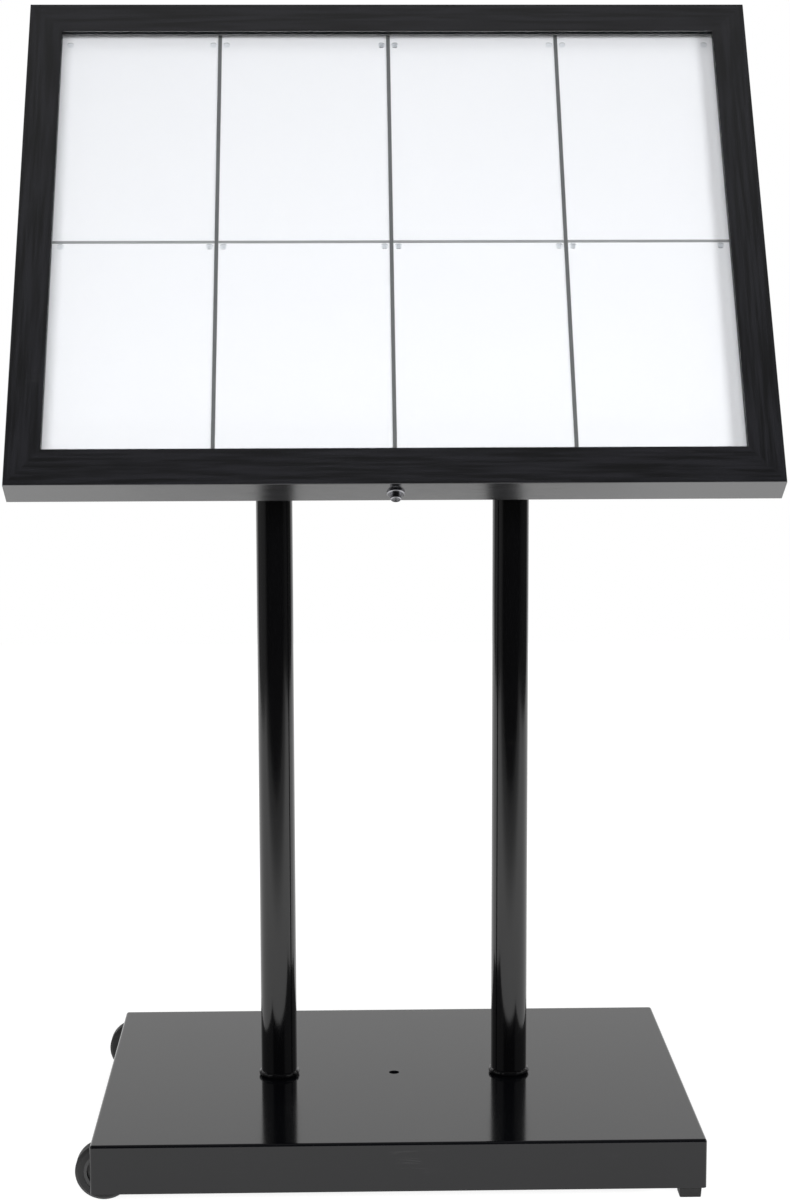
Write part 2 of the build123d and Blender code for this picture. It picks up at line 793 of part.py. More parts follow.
# Base cover: folded sheet, open below, with slots for the wheels in its left end
slab_left = axle_x + wheel_radius + slab_wheel_gap
slab_right = base_width / 2 - slab_margin
slab_half_y = base_depth / 2 - slab_margin
boss_points = [
    (x, y) for x in (slab_left + boss_inset, slab_right - boss_inset) for y in (-slab_half_y + boss_inset, slab_half_y - boss_inset)
]
post_points = [(-post_half, post_y), (post_half, post_y)]
with BuildPart() as base_cover:
    with BuildSketch(Plane.XY.offset(foot_height)):
        RectangleRounded(base_width, base_depth, base_bend)
    extrude(amount=base_top - foot_height)
    fillet(base_cover.faces().sort_by(Axis.Z)[-1].edges(), radius=base_bend - 0.5)
    offset(amount=-base_sheet, openings=base_cover.faces().sort_by(Axis.Z)[0])
    with BuildSketch(Plane.YZ.offset(-base_width / 2)):
        for y in (-wheel_y, wheel_y):
            with Locations((y, (foot_height + cover_under) / 2)):
                Rectangle(tyre_width + 2 * wheel_slot_gap, cover_under - foot_height)
    extrude(amount=base_sheet, mode=Mode.SUBTRACT)
    drill(Plane.XY.offset(base_top), [(0, post_y)], anchor_hole_radius, -base_sheet)
    drill(Plane.XY.offset(base_top), post_points, post_radius + post_hole_gap, -base_sheet)
    with BuildSketch(Plane.XY.offset(cover_under)):
        with Locations(*boss_points):
            Circle(boss_radius)
    extrude(amount=-foot_flange_thickness)
    drill(Plane.XY.offset(slab_top), boss_points, m8_bolt[0] + hole_clearance / 2, foot_flange_thickness - 1.0)
write(base_cover, "base_cover")

# Ballast slab under the cover, bolted up into the flanges and the cover's bosses
bracket_inner = wheel_y - hub_length / 2 - side_play - washer_thickness - bracket_thickness
bracket_screw_x = [slab_left + bracket_reach * share for share in (0.3, 0.75)]
bracket_screw_y = bracket_inner - bracket_foot_width / 2
bracket_points = [(x, y) for x in bracket_screw_x for y in (-bracket_screw_y, bracket_screw_y)]
flange_points = [
    (side * post_half + x * flange_bolt_pitch / 2, post_y + y * flange_bolt_pitch / 2)
    for side in (-1, 1)
    for x in (-1, 1)
    for y in (-1, 1)
]
slab_under = Plane.XY.offset(slab_bottom)
with BuildPart() as ballast_slab:
    bar(slab_under, slab_left, slab_right, -slab_half_y, slab_half_y, slab_thickness)
    chamfer(ballast_slab.edges().filter_by(Axis.Z), length=6.0)
    drill(slab_under, [(0, post_y)], anchor_hole_radius, slab_thickness)
    drill(slab_under, flange_points, m10_bolt[0] + hole_clearance, slab_thickness)
    drill(slab_under, boss_points, m8_bolt[0] + hole_clearance, slab_thickness)
    drill(slab_under, bracket_points, m6_bolt[0] + hole_clearance / 2, slab_thickness * 0.7)
write(ballast_slab, "ballast_slab")

downward = Plane(origin=(0, 0, slab_bottom), x_dir=(1, 0, 0), z_dir=(0, 0, -1))
fasten(
    "flange_bolts",
    hex_bolt(m10_bolt, slab_thickness + foot_flange_thickness - 1.0),
    (downward, [(x, -y) for x, y in flange_points]),
)
fasten(
    "cover_bolts",
    hex_bolt(m8_bolt, slab_thickness + foot_flange_thickness - 2.0),
    (downward, [(x, -y) for x, y in boss_points]),
)

# Wheels, axle and the brackets that carry it under the slab
with BuildPart() as wheel_axle:
    axle_half = wheel_y + hub_length / 2 + side_play + washer_thickness + clip_ring_thickness + axle_overhang
    with BuildSketch(Plane(origin=(axle_x, -axle_half, axle_z), x_dir=(1, 0, 0), z_dir=(0, 1, 0))):
        Circle(axle_radius)
    extrude(amount=2 * axle_half)
    chamfer(wheel_axle.edges().filter_by(GeomType.CIRCLE), length=0.8)
write(wheel_axle, "wheel_axle")

for sign, name in ((-1, "front"), (1, "rear")):
    wheel_plane = Plane(origin=(axle_x, sign * wheel_y, axle_z), x_dir=(1, 0, 0), z_dir=(0, sign, 0))
    spin_axis = Axis(wheel_plane.origin, wheel_plane.z_dir)
    with BuildPart() as wheel_hub:
        with BuildSketch(wheel_plane.offset(-hub_length / 2)):
            Circle(hub_radius)
        extrude(amount=hub_length)
        with BuildSketch(wheel_plane.offset(-rim_width / 2)):
            Circle(rim_radius)
            Circle(rim_radius - rim_wall, mode=Mode.SUBTRACT)
        extrude(amount=rim_width)
        with BuildSketch(wheel_plane.offset(-web_width / 2)):
            Circle(rim_radius - rim_wall / 2)
            with PolarLocations((hub_radius + rim_radius - rim_wall) / 2, 5):
                Circle((rim_radius - rim_wall - hub_radius) * 0.32, mode=Mode.SUBTRACT)
        extrude(amount=web_width)
        drill(wheel_plane.offset(-hub_length / 2), [(0, 0)], axle_radius + running_clearance, hub_length)
    write(wheel_hub, f"{name}_wheel")

    with BuildPart() as tyre:
        with BuildSketch(wheel_plane.offset(-tyre_width / 2)):
            Circle(wheel_radius)
        extrude(amount=tyre_width)
        chamfer(tyre.edges().filter_by(GeomType.CIRCLE), length=tyre_edge)
        drill(wheel_plane.offset(-tyre_width / 2), [(0, 0)], rim_radius, tyre_width)
    write(tyre, f"{name}_tyre")

    bracket_plane = Plane(origin=(0, sign * bracket_inner, 0), x_dir=(1, 0, 0), z_dir=(0, sign, 0))
    drop = -sign
    with BuildPart() as axle_bracket:
        with BuildSketch(bracket_plane):
            with Locations((axle_x, drop * axle_z)):
                Circle(bracket_round)
            with Locations((slab_left - bracket_round / 2, drop * (slab_bottom - bracket_round * 0.6))):
                Rectangle(bracket_round, bracket_round * 1.2)
            make_hull()
            with Locations((slab_left + bracket_reach / 2, drop * (slab_bottom - bracket_round * 0.6))):
                Rectangle(bracket_reach, bracket_round * 1.2)
            with Locations((axle_x, drop * axle_z)):
                Circle(axle_radius + running_clearance, mode=Mode.SUBTRACT)
        extrude(amount=bracket_thickness)
        foot_edges = sorted((sign * bracket_inner, sign * (bracket_inner - bracket_foot_width)))
        bar(slab_under, slab_left, slab_left + bracket_reach, *foot_edges, -bracket_foot_thickness)
        drill(slab_under, bracket_points, m6_bolt[0] + hole_clearance, -bracket_foot_thickness)
    write(axle_bracket, f"{name}_axle_bracket")

fasten(
    "bracket_screws",
    hex_bolt(m6_bolt, bracket_foot_thickness + slab_thickness * 0.6),
    (downward.offset(bracket_foot_thickness), [(x, -y) for x, y in bracket_points]),
)

inner_washer = wheel_y - hub_length / 2 - side_play
outer_washer = wheel_y + hub_length / 2 + side_play + washer_thickness
with BuildPart() as axle_washers:
    for sign in (-1, 1):
        for face in (inner_washer, outer_washer):
            with BuildSketch(Plane(origin=(axle_x, sign * face, axle_z), x_dir=(1, 0, 0), z_dir=(0, -sign, 0))):
                Circle(washer_radius)
                Circle(axle_radius + running_clearance, mode=Mode.SUBTRACT)
            extrude(amount=washer_thickness)
write(axle_washers, "axle_washers")

with BuildPart() as axle_clips:
    for sign in (-1, 1):
        with BuildSketch(Plane(origin=(axle_x, sign * outer_washer, axle_z), x_dir=(1, 0, 0), z_dir=(0, sign, 0))):
            Circle(clip_ring_radius)
            Circle(axle_radius + running_clearance, mode=Mode.SUBTRACT)
        extrude(amount=clip_ring_thickness, taper=12)
write(axle_clips, "axle_clips")

# Rubber feet under plates in the right-hand corners of the cover
for sign, name in ((-1, "front"), (1, "rear")):
    plate_right = base_width / 2 - base_sheet
    plate_edges = sorted((sign * (base_depth / 2 - base_sheet), sign * (base_depth / 2 - base_sheet - foot_plate_size)))
    plate_plane = Plane.XY.offset(foot_height)
    with BuildPart() as foot_plate:
        bar(plate_plane, plate_right - foot_plate_size, plate_right, *plate_edges, foot_plate_thickness)
        plate_corners = foot_plate.edges().filter_by(Axis.Z)
        chamfer(plate_corners, length=3.0)
        drill(plate_plane, [(foot_x, sign * foot_y)], m8_bolt[0] + hole_clearance, foot_plate_thickness)
    write(foot_plate, f"{name}_foot_plate")

    with BuildPart() as foot:
        with BuildSketch(Plane.XY):
            with Locations((foot_x, sign * foot_y)):
                RectangleRounded(foot_tip_size, foot_tip_size, foot_corner)
        with BuildSketch(plate_plane):
            with Locations((foot_x, sign * foot_y)):
                RectangleRounded(foot_size, foot_size, foot_corner)
        loft()
        drill(Plane.XY, [(foot_x, sign * foot_y)], foot_recess_radius, foot_recess_depth)
        drill(Plane.XY, [(foot_x, sign * foot_y)], m8_bolt[0] + hole_clearance, foot_height)
    write(foot, f"{name}_foot")

foot_seat = Plane(origin=(0, 0, foot_recess_depth), x_dir=(1, 0, 0), z_dir=(0, 0, -1))
foot_grip = foot_height - foot_recess_depth + foot_plate_thickness + 4.0
fasten(
    "foot_screws",
    pan_screw((m8_bolt[0], m8_bolt[1], foot_recess_depth * 0.6), foot_grip),
    (foot_seat, [(foot_x, -foot_y), (foot_x, foot_y)]),
)
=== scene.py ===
import json
import math

import bpy
from mathutils import Matrix, Vector


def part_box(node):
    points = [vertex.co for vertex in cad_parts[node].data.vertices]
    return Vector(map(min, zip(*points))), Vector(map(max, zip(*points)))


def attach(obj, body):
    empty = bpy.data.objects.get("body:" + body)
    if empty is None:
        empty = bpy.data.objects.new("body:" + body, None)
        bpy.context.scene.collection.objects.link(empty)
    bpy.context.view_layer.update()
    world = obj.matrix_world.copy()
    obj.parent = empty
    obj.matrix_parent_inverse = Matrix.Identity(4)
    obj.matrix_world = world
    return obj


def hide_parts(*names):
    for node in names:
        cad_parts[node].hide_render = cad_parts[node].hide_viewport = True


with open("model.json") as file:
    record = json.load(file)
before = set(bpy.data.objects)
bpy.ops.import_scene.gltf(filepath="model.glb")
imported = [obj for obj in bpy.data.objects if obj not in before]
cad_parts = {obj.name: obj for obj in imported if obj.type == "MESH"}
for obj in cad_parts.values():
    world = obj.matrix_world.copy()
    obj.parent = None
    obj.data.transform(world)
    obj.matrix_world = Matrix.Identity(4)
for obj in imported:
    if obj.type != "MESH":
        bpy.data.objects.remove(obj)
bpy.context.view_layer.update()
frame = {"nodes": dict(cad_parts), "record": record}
nodes = frame["nodes"]
scene = bpy.context.scene
scene.view_settings.view_transform = "Standard"

# The leaning case, in metres: lean, lower front edge, directions across, up and out of its face, and sizes
LEAN = math.radians(33.0)
CASE_EDGE = Vector((0.0, -0.1925, 0.842))
ACROSS = Vector((1.0, 0.0, 0.0))
UP_FACE = Vector((0.0, math.sin(LEAN), math.cos(LEAN)))
OUT_FACE = Vector((0.0, -math.cos(LEAN), math.sin(LEAN)))
CASE_WIDTH = 0.909
CASE_HEIGHT = 0.691
HEAD_PLATE_DEPTH = 0.048

# Skin of the door's rails: what lies deeper than this is the inside of a rail
RAIL_SKIN = 0.0012

# Kinds of socket on a node group
FLOAT = "NodeSocketFloat"
VECTOR = "NodeSocketVector"

# Colour sockets of a Mix node, which share their names with those of its other types
MIX_SHARE = 0
MIX_FIRST = 6
MIX_SECOND = 7
MIX_RESULT = 2


# Small tools for building node trees

def new_material(name):
    material = bpy.data.materials.new(name)
    material.use_nodes = True
    material.node_tree.nodes.clear()
    return material


def add(tree, kind, **settings):
    node = tree.nodes.new(kind)
    for key, value in settings.items():
        if key.startswith("in_"):
            label = key.removeprefix("in_").replace("_", " ")
            node.inputs[label].default_value = value
        else:
            setattr(node, key, value)
    return node


def join(tree, source, target):
    tree.links.new(source, target)


def math_step(tree, operation, first, second=None, third=None):
    node = add(tree, "ShaderNodeMath", operation=operation)
    for slot, value in enumerate((first, second, third)):
        if value is None:
            continue
        if isinstance(value, (int, float)):
            node.inputs[slot].default_value = value
        else:
            join(tree, value, node.inputs[slot])
    return node.outputs[0]


def weighted(tree, first, share, second):
    rest = math_step(tree, "MULTIPLY", second, 1.0 - share)
    return math_step(tree, "MULTIPLY_ADD", first, share, rest)


def smooth_range(tree, value, low, high, out_low=0.0, out_high=1.0):
    node = add(tree, "ShaderNodeMapRange", interpolation_type="SMOOTHSTEP")
    join(tree, value, node.inputs["Value"])
    node.inputs["From Min"].default_value = low
    node.inputs["From Max"].default_value = high
    node.inputs["To Min"].default_value = out_low
    node.inputs["To Max"].default_value = out_high
    return node.outputs["Result"]


def mixed_colour(tree, share, first, second):
    node = add(tree, "ShaderNodeMix", data_type="RGBA")
    join(tree, share, node.inputs[MIX_SHARE])
    for slot, value in ((MIX_FIRST, first), (MIX_SECOND, second)):
        if isinstance(value, tuple):
            node.inputs[slot].default_value = (*value, 1.0)
        else:
            join(tree, value, node.inputs[slot])
    return node.outputs[MIX_RESULT]


def new_group(name, inputs, outputs):
    group = bpy.data.node_groups.new(name, "ShaderNodeTree")
    for label, kind, value in inputs:
        socket = group.interface.new_socket(label, in_out="INPUT", socket_type=kind)
        socket.default_value = value
    for label, kind in outputs:
        group.interface.new_socket(label, in_out="OUTPUT", socket_type=kind)
    return group, add(group, "NodeGroupInput"), add(group, "NodeGroupOutput")


def place_group(tree, group, **values):
    node = add(tree, "ShaderNodeGroup", node_tree=group)
    for key, value in values.items():
        node.inputs[key.replace("_", " ")].default_value = value
    return node


# Coating grain: the fine orange peel of sprayed paint, with faint cloudy changes of gloss

def build_coating_grain():
    group, given, made = new_group(
        "coating_grain",
        [("Grain", FLOAT, 900.0), ("Cloud", FLOAT, 7.0)],
        [("Height", FLOAT), ("Gloss Change", FLOAT), ("Tone", FLOAT)],
    )
    place = add(group, "ShaderNodeTexCoord")
    peel = add(group, "ShaderNodeTexNoise", in_Detail=3.0, in_Roughness=0.55)
    join(group, place.outputs["Object"], peel.inputs["Vector"])
    join(group, given.outputs["Grain"], peel.inputs["Scale"])
    cloud = add(group, "ShaderNodeTexNoise", in_Detail=5.0, in_Roughness=0.6)
    join(group, place.outputs["Object"], cloud.inputs["Vector"])
    join(group, given.outputs["Cloud"], cloud.inputs["Scale"])
    gloss_change = smooth_range(group, cloud.outputs["Fac"], low=0.3, high=0.7, out_low=-1.0, out_high=1.0)
    tone = weighted(group, peel.outputs["Fac"], 0.5, cloud.outputs["Fac"])
    join(group, peel.outputs["Fac"], made.inputs["Height"])
    join(group, gloss_change, made.inputs["Gloss Change"])
    join(group, tone, made.inputs["Tone"])
    return group


# Case position: place across, up and into the leaning case, in metres, and a mask for the inside of its rails

def build_case_position():
    group, _, made = new_group("case_position", [], [("Depth", FLOAT), ("Inside", FLOAT), ("Place", VECTOR)])
    place = add(group, "ShaderNodeTexCoord")
    shift = add(group, "ShaderNodeVectorMath", operation="SUBTRACT")
    join(group, place.outputs["Object"], shift.inputs[0])
    shift.inputs[1].default_value = CASE_EDGE
    gathered = add(group, "ShaderNodeCombineXYZ")
    reach = []
    for way, axis in zip("XYZ", (ACROSS, UP_FACE, -OUT_FACE)):
        along = add(group, "ShaderNodeVectorMath", operation="DOT_PRODUCT")
        join(group, shift.outputs[0], along.inputs[0])
        along.inputs[1].default_value = axis
        join(group, along.outputs["Value"], gathered.inputs[way])
        reach.append(along.outputs["Value"])
    across, up, depth = reach
    aside = math_step(group, "ABSOLUTE", across)
    inside = math_step(group, "LESS_THAN", aside, CASE_WIDTH / 2 - RAIL_SKIN)
    limits = (
        ("GREATER_THAN", up, RAIL_SKIN),
        ("LESS_THAN", up, CASE_HEIGHT - RAIL_SKIN),
        ("GREATER_THAN", depth, RAIL_SKIN),
    )
    for test, value, limit in limits:
        inside = math_step(group, "MULTIPLY", inside, math_step(group, test, value, limit))
    join(group, depth, made.inputs["Depth"])
    join(group, inside, made.inputs["Inside"])
    join(group, gathered.outputs[0], made.inputs["Place"])
    return group


# Drawn streaks: fine and broad lines left along an extruded rail

def build_drawn_streaks():
    group, given, made = new_group(
        "drawn_streaks",
        [("Place", VECTOR, (0.0, 0.0, 0.0)), ("Across Scale", VECTOR, (6.0, 900.0, 900.0))],
        [("Streak", FLOAT), ("Broad", FLOAT)],
    )
    stretch = add(group, "ShaderNodeVectorMath", operation="MULTIPLY")
    join(group, given.outputs["Place"], stretch.inputs[0])
    join(group, given.outputs["Across Scale"], stretch.inputs[1])
    fine = add(group, "ShaderNodeTexNoise", in_Scale=1.0, in_Detail=4.0, in_Roughness=0.65)
    join(group, stretch.outputs[0], fine.inputs["Vector"])
    broad = add(group, "ShaderNodeTexNoise", in_Scale=0.2, in_Detail=2.0)
    join(group, stretch.outputs[0], broad.inputs["Vector"])
    join(group, fine.outputs["Fac"], made.inputs["Streak"])
    join(group, broad.outputs["Fac"], made.inputs["Broad"])
    return group


# Scuffs: sparse bundles of fine straight scratches

SCUFF_SPREAD = 0.22
SCUFF_SLANT = (0.5, 0.35, 0.7)
SCUFF_STRETCH = (0.12, 3.0, 3.0)


def build_scuffs():
    group, given, made = new_group(
        "scuffs",
        [("Scale", FLOAT, 40.0), ("Amount", FLOAT, 0.5)],
        [("Mask", FLOAT)],
    )
    place = add(group, "ShaderNodeTexCoord")
    spread = add(group, "ShaderNodeTexNoise", in_Detail=2.0)
    join(group, place.outputs["Object"], spread.inputs["Vector"])
    join(group, math_step(group, "MULTIPLY", given.outputs["Scale"], SCUFF_SPREAD), spread.inputs["Scale"])
    slant = add(group, "ShaderNodeMapping", in_Rotation=SCUFF_SLANT, in_Scale=SCUFF_STRETCH)
    join(group, place.outputs["Object"], slant.inputs["Vector"])
    lines = add(group, "ShaderNodeTexNoise", in_Detail=1.5, in_Roughness=0.5)
    join(group, slant.outputs["Vector"], lines.inputs["Vector"])
    join(group, given.outputs["Scale"], lines.inputs["Scale"])
    ridge = math_step(group, "ABSOLUTE", math_step(group, "SUBTRACT", lines.outputs["Fac"], 0.5))
    thin = smooth_range(group, ridge, low=0.0, high=0.02, out_low=1.0, out_high=0.0)
    patch = smooth_range(group, spread.outputs["Fac"], low=0.6, high=0.74)
    both = math_step(group, "MULTIPLY", thin, patch)
    join(group, math_step(group, "MULTIPLY", both, given.outputs["Amount"]), made.inputs["Mask"])
    return group


COATING_GRAIN = build_coating_grain()
CASE_POSITION = build_case_position()
DRAWN_STREAKS = build_drawn_streaks()
SCUFFS = build_scuffs()


# Surface of a finish: its colour and roughness, a bump where it has one, and plain values by name

def finish_surface(tree, colour, roughness, height=None, bump_distance=0.0, bump_strength=0.0, **plain):
    shader = add(tree, "ShaderNodeBsdfPrincipled")
    for key, value in plain.items():
        shader.inputs[key.replace("_", " ")].default_value = value
    join(tree, colour, shader.inputs["Base Color"])
    join(tree, roughness, shader.inputs["Roughness"])
    if height is not None:
        bump = add(tree, "ShaderNodeBump", in_Strength=bump_strength, in_Distance=bump_distance)
        join(tree, height, bump.inputs["Height"])
        join(tree, bump.outputs["Normal"], shader.inputs["Normal"])
    out = add(tree, "ShaderNodeOutputMaterial")
    join(tree, shader.outputs["BSDF"], out.inputs["Surface"])
    return shader, out


# Sprayed paint: orange peel, cloudy gloss and pale dull scratches

PAINT_SCRATCH = (0.22, 0.22, 0.22)
PAINT_SCRATCH_DULLS = 0.25


def sprayed_paint(name, dark, pale, roughness, gloss_swing, grain, ior, scuff_amount, bump_strength):
    material = new_material(name)
    tree = material.node_tree
    coat = place_group(tree, COATING_GRAIN, Grain=grain, Cloud=6.0)
    scuff = place_group(tree, SCUFFS, Scale=55.0, Amount=scuff_amount)
    colour = mixed_colour(tree, coat.outputs["Tone"], dark, pale)
    colour = mixed_colour(tree, scuff.outputs["Mask"], colour, PAINT_SCRATCH)
    rough = math_step(tree, "MULTIPLY_ADD", coat.outputs["Gloss Change"], gloss_swing, roughness)
    rough = math_step(tree, "MULTIPLY_ADD", scuff.outputs["Mask"], PAINT_SCRATCH_DULLS, rough)
    finish_surface(
        tree, colour, rough, coat.outputs["Height"],
        bump_distance=0.0002, bump_strength=bump_strength, IOR=ior,
    )
    return material


POST_PAINT = sprayed_paint(
    "post_black", dark=(0.0008, 0.0008, 0.001), pale=(0.0024, 0.0024, 0.0028),
    roughness=0.1, gloss_swing=0.02, grain=700.0, ior=1.54, scuff_amount=0.08, bump_strength=0.05,
)
BASE_PAINT = sprayed_paint(
    "base_black", dark=(0.0012, 0.0013, 0.0018), pale=(0.0034, 0.0036, 0.0048),
    roughness=0.11, gloss_swing=0.02, grain=800.0, ior=1.5, scuff_amount=0.08, bump_strength=0.06,
)
CASE_PAINT = sprayed_paint(
    "case_black", dark=(0.006, 0.006, 0.007), pale=(0.014, 0.0142, 0.0155),
    roughness=0.36, gloss_swing=0.03, grain=1000.0, ior=1.5, scuff_amount=0.2, bump_strength=0.12,
)
BACK_PAINT = sprayed_paint(
    "back_sheet_black", dark=(0.008, 0.008, 0.009), pale=(0.02, 0.0205, 0.022),
    roughness=0.42, gloss_swing=0.04, grain=1100.0, ior=1.5, scuff_amount=0.3, bump_strength=0.2,
)
PRIMER = sprayed_paint(
    "grey_primer", dark=(0.05, 0.05, 0.053), pale=(0.1, 0.1, 0.105),
    roughness=0.55, gloss_swing=0.05, grain=500.0, ior=1.5, scuff_amount=0.5, bump_strength=0.3,
)


# Rail finish: black coated extrusion with streaks along the rail, duller on the inside of the rail

RAIL_DARK = (0.0011, 0.0012, 0.0019)
RAIL_PALE = (0.0092, 0.0093, 0.0122)
RAIL_SCRATCH = (0.1, 0.1, 0.1)
RAIL_GLOSS_SWING = 0.02
RAIL_INSIDE_DULLS = 0.3
STREAKS_ALONG = 45.0
STREAKS_ACROSS = 850.0
SKIRT_DRAFT = 0.055


def rail_finish(name, scale, draft=0.0):
    material = new_material(name)
    tree = material.node_tree
    position = place_group(tree, CASE_POSITION)
    streaks = place_group(tree, DRAWN_STREAKS, Across_Scale=scale)
    join(tree, position.outputs["Place"], streaks.inputs["Place"])
    coat = place_group(tree, COATING_GRAIN, Grain=1200.0, Cloud=5.0)
    scuff = place_group(tree, SCUFFS, Scale=48.0, Amount=0.1)
    fine = streaks.outputs["Streak"]
    broad = streaks.outputs["Broad"]
    drawn = smooth_range(tree, weighted(tree, broad, 0.8, fine), low=0.34, high=0.66)
    colour = mixed_colour(tree, drawn, RAIL_DARK, RAIL_PALE)
    colour = mixed_colour(tree, scuff.outputs["Mask"], colour, RAIL_SCRATCH)
    blend = weighted(tree, fine, 0.65, broad)
    rough = smooth_range(tree, blend, low=0.25, high=0.75, out_low=0.14, out_high=0.24)
    rough = math_step(tree, "MULTIPLY_ADD", coat.outputs["Gloss Change"], RAIL_GLOSS_SWING, rough)
    rough = math_step(tree, "MULTIPLY_ADD", position.outputs["Inside"], RAIL_INSIDE_DULLS, rough)
    height = weighted(tree, fine, 0.8, coat.outputs["Height"])
    shader, _ = finish_surface(
        tree, colour, rough, height, bump_distance=0.00002, bump_strength=0.1, IOR=2.2,
    )
    # A draft shades the rail as if its faces drew in a little with depth
    if draft:
        lean_in = add(tree, "ShaderNodeBump", in_Strength=1.0, in_Distance=1.0)
        join(tree, math_step(tree, "MULTIPLY", position.outputs["Depth"], -draft), lean_in.inputs["Height"])
        grain_bump = shader.inputs["Normal"].links[0].from_node
        join(tree, lean_in.outputs["Normal"], grain_bump.inputs["Normal"])
    return material


LEVEL_STREAKS = (STREAKS_ALONG, STREAKS_ACROSS, STREAKS_ACROSS)
UPRIGHT_STREAKS = (STREAKS_ACROSS, STREAKS_ALONG, STREAKS_ACROSS)
RAIL_ALONG = rail_finish("black_rail_level", LEVEL_STREAKS)
RAIL_UPRIGHT = rail_finish("black_rail_upright", UPRIGHT_STREAKS)
RAIL_BOTTOM = rail_finish("black_rail_bottom", LEVEL_STREAKS, SKIRT_DRAFT)


# Plated metal: zinc fasteners, the lock's chrome and blackened hinges, with stained scratches

def plated_metal(name, dark, pale, roughness, stain, grain):
    material = new_material(name)
    tree = material.node_tree
    coat = place_group(tree, COATING_GRAIN, Grain=grain, Cloud=30.0)
    scuff = place_group(tree, SCUFFS, Scale=160.0, Amount=0.6)
    colour = mixed_colour(tree, coat.outputs["Tone"], dark, pale)
    colour = mixed_colour(tree, scuff.outputs["Mask"], colour, stain)
    rough = math_step(tree, "MULTIPLY_ADD", coat.outputs["Gloss Change"], 0.07, roughness)
    finish_surface(
        tree, colour, rough, coat.outputs["Height"], bump_distance=0.0001, bump_strength=0.15, Metallic=1.0,
    )
    return material


ZINC = plated_metal(
    "zinc_plate", dark=(0.42, 0.43, 0.45), pale=(0.62, 0.62, 0.61),
    roughness=0.38, stain=(0.3, 0.3, 0.3), grain=700.0,
)
CHROME = plated_metal(
    "lock_chrome", dark=(0.3, 0.3, 0.32), pale=(0.44, 0.44, 0.46),
    roughness=0.16, stain=(0.35, 0.35, 0.35), grain=300.0,
)
HINGE_STEEL = plated_metal(
    "hinge_black_steel", dark=(0.03, 0.03, 0.033), pale=(0.08, 0.08, 0.085),
    roughness=0.42, stain=(0.25, 0.25, 0.25), grain=600.0,
)


# Moulded rubber and plastic: an even grain with a little cloudiness

def moulded(name, dark, pale, roughness, grain, bump_strength):
    material = new_material(name)
    tree = material.node_tree
    coat = place_group(tree, COATING_GRAIN, Grain=grain, Cloud=25.0)
    colour = mixed_colour(tree, coat.outputs["Tone"], dark, pale)
    rough = math_step(tree, "MULTIPLY_ADD", coat.outputs["Gloss Change"], 0.06, roughness)
    finish_surface(
        tree, colour, rough, coat.outputs["Height"],
        bump_distance=0.0003, bump_strength=bump_strength, IOR=1.5,
    )
    return material


TYRE_RUBBER = moulded(
    "tyre_rubber", dark=(0.012, 0.012, 0.012), pale=(0.03, 0.03, 0.031),
    roughness=0.62, grain=420.0, bump_strength=0.4,
)
FOOT_RUBBER = moulded(
    "foot_rubber", dark=(0.01, 0.01, 0.01), pale=(0.024, 0.024, 0.024),
    roughness=0.68, grain=500.0, bump_strength=0.35,
)
GASKET_RUBBER = moulded(
    "gasket_rubber", dark=(0.01, 0.01, 0.01), pale=(0.02, 0.02, 0.02),
    roughness=0.6, grain=600.0, bump_strength=0.3,
)
WHEEL_PLASTIC = moulded(
    "wheel_plastic", dark=(0.04, 0.04, 0.041), pale=(0.065, 0.065, 0.067),
    roughness=0.42, grain=650.0, bump_strength=0.25,
)
COLUMN_PLASTIC = moulded(
    "column_grey", dark=(0.1, 0.102, 0.105), pale=(0.16, 0.162, 0.166),
    roughness=0.5, grain=900.0, bump_strength=0.2,
)
# The row dividers are the same grey plastic as the columns, made paler: painted light, so the level dividers
# look lighter than the upright ones
ROW_PLASTIC_PAINTED_LIGHT = moulded(
    "row_grey_painted_light", dark=(0.25, 0.253, 0.258), pale=(0.34, 0.342, 0.348),
    roughness=0.5, grain=900.0, bump_strength=0.2,
)


# White board: smooth face with a very faint cool cloudiness

BOARD_DARK = (0.899, 0.891, 0.925)
BOARD_PALE = (0.924, 0.915, 0.945)
BOARD_ROUGHNESS = 0.5
BOARD_GLOSS_SWING = 0.04


def board_finish():
    material = new_material("white_board")
    tree = material.node_tree
    coat = place_group(tree, COATING_GRAIN, Grain=900.0, Cloud=3.0)
    colour = mixed_colour(tree, coat.outputs["Tone"], BOARD_DARK, BOARD_PALE)
    rough = math_step(tree, "MULTIPLY_ADD", coat.outputs["Gloss Change"], BOARD_GLOSS_SWING, BOARD_ROUGHNESS)
    finish_surface(
        tree, colour, rough, coat.outputs["Height"], bump_distance=0.0001, bump_strength=0.05, IOR=1.45,
    )
    return material


WHITE_BOARD = board_finish()


# Clear finish: door glass and moulded clear clips. Shadow and diffuse rays pass straight through.

CLEAR_PASSES = (0.97, 0.98, 0.98, 1.0)


def clear_finish(name, tint_dark, tint_pale, roughness, smudge, ior):
    material = new_material(name)
    tree = material.node_tree
    coat = place_group(tree, COATING_GRAIN, Grain=60.0, Cloud=2.5)
    colour = mixed_colour(tree, coat.outputs["Tone"], tint_dark, tint_pale)
    smudged = roughness + smudge
    rough = smooth_range(
        tree, coat.outputs["Gloss Change"], low=-1.0, high=1.0, out_low=roughness, out_high=smudged,
    )
    shader, out = finish_surface(tree, colour, rough, IOR=ior, Transmission_Weight=1.0)
    through = add(tree, "ShaderNodeBsdfTransparent", in_Color=CLEAR_PASSES)
    ray = add(tree, "ShaderNodeLightPath")
    unseen = math_step(tree, "MAXIMUM", ray.outputs["Is Shadow Ray"], ray.outputs["Is Diffuse Ray"])
    choice = add(tree, "ShaderNodeMixShader")
    join(tree, unseen, choice.inputs[0])
    join(tree, shader.outputs["BSDF"], choice.inputs[1])
    join(tree, through.outputs["BSDF"], choice.inputs[2])
    join(tree, choice.outputs["Shader"], out.inputs["Surface"])
    return material


